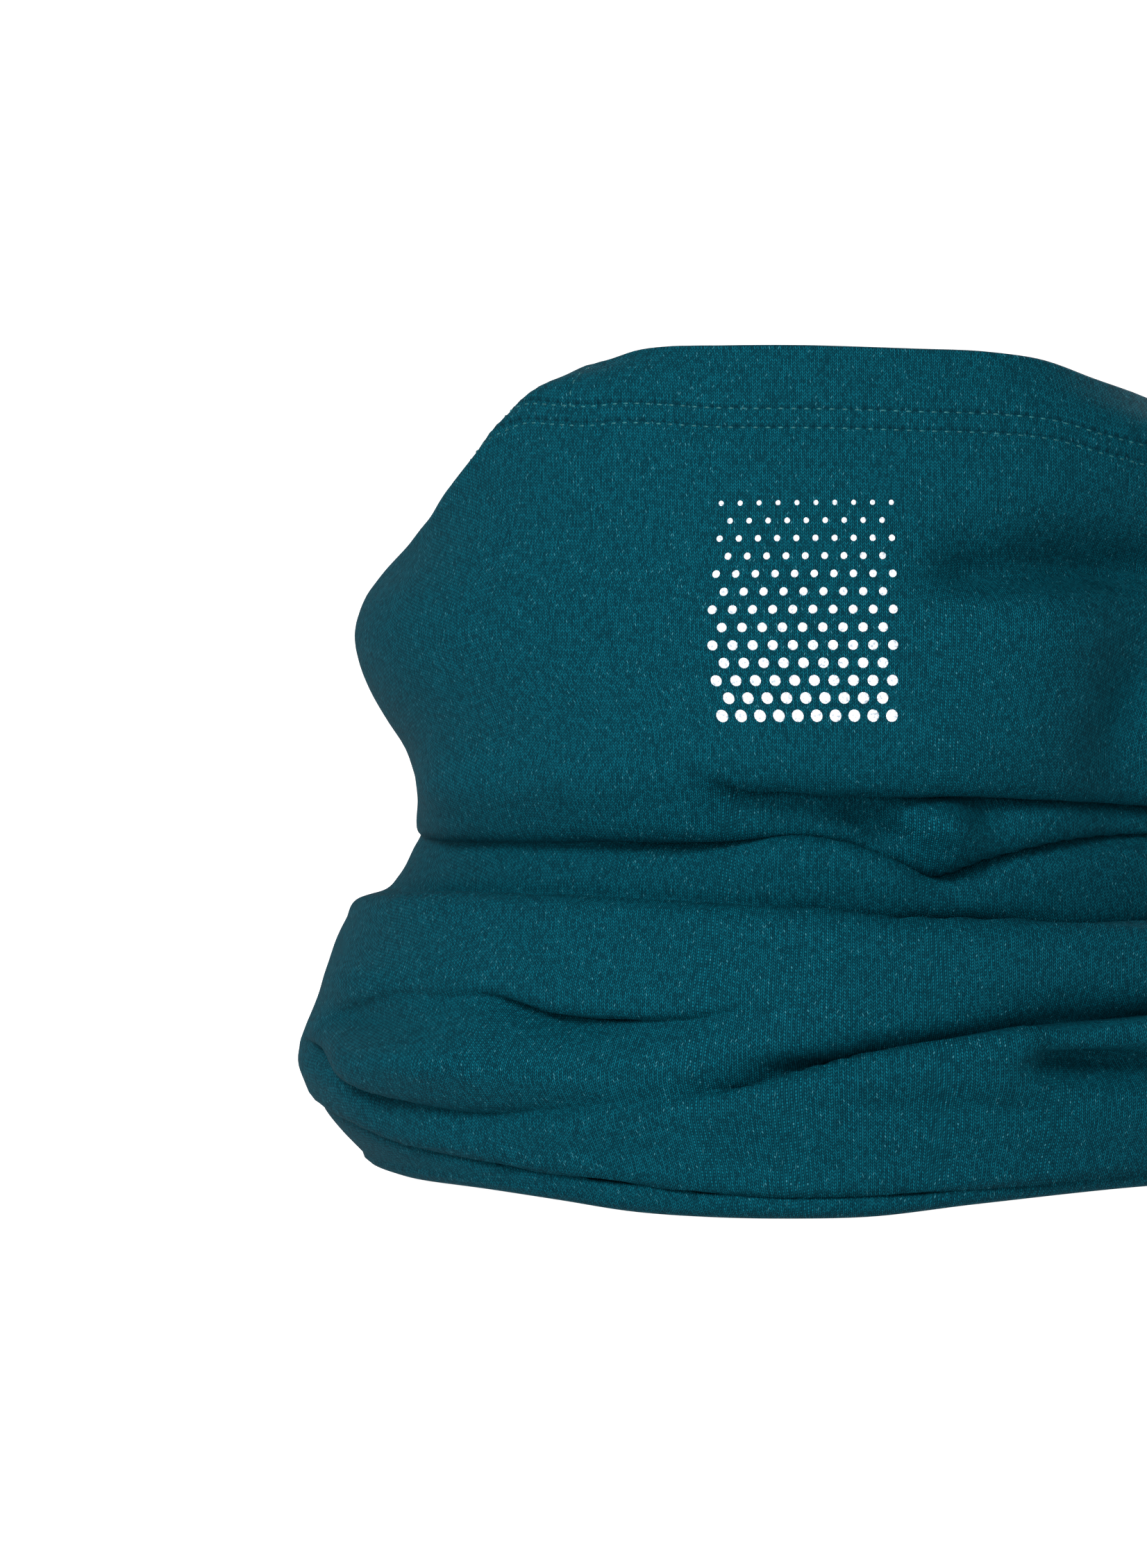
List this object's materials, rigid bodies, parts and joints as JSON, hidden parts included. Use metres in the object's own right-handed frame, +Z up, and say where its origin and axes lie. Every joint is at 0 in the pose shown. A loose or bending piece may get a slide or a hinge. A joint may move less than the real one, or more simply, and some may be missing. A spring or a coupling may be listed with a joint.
{
  "type": "neck gaiter",
  "caption": "Soft knitted tube for the neck and chin, in its worn shape, with stitched hems, folds gathered at the neck and a plain patch of reflective dots.",
  "frame": {"origin": "middle of the neck passage, on its axis, where a neck holds the gaiter", "axes": "+Z up along the neck, -Y to the wearer's front, -X to the wearer's right"},
  "size_m": [0.1932, 0.1932, 0.1418],
  "materials": {
    "knit": "fine jersey knit, dark teal, matt with a slight sheen and small pale specks",
    "thread": "twisted polyester sewing thread, teal, a little lighter than the cloth",
    "reflective": "heat-pressed reflective film, silver white, grainy",
    "label": "woven satin ribbon, off-white, blank"
  },
  "bodies": {
    "root": {"tube_panel": "knit", "seam_allowance": "knit", "top_hem_needle_thread_upper": "thread", "top_hem_needle_thread_lower": "thread", "top_hem_looper_thread": "thread", "lower_hem_needle_thread_upper": "thread", "lower_hem_needle_thread_lower": "thread", "lower_hem_looper_thread": "thread", "seam_needle_thread": "thread", "seam_inner_looper_thread": "thread", "seam_outer_looper_thread": "thread", "reflective_print": "reflective", "care_label": "label"}
  },
  "joints": []
}
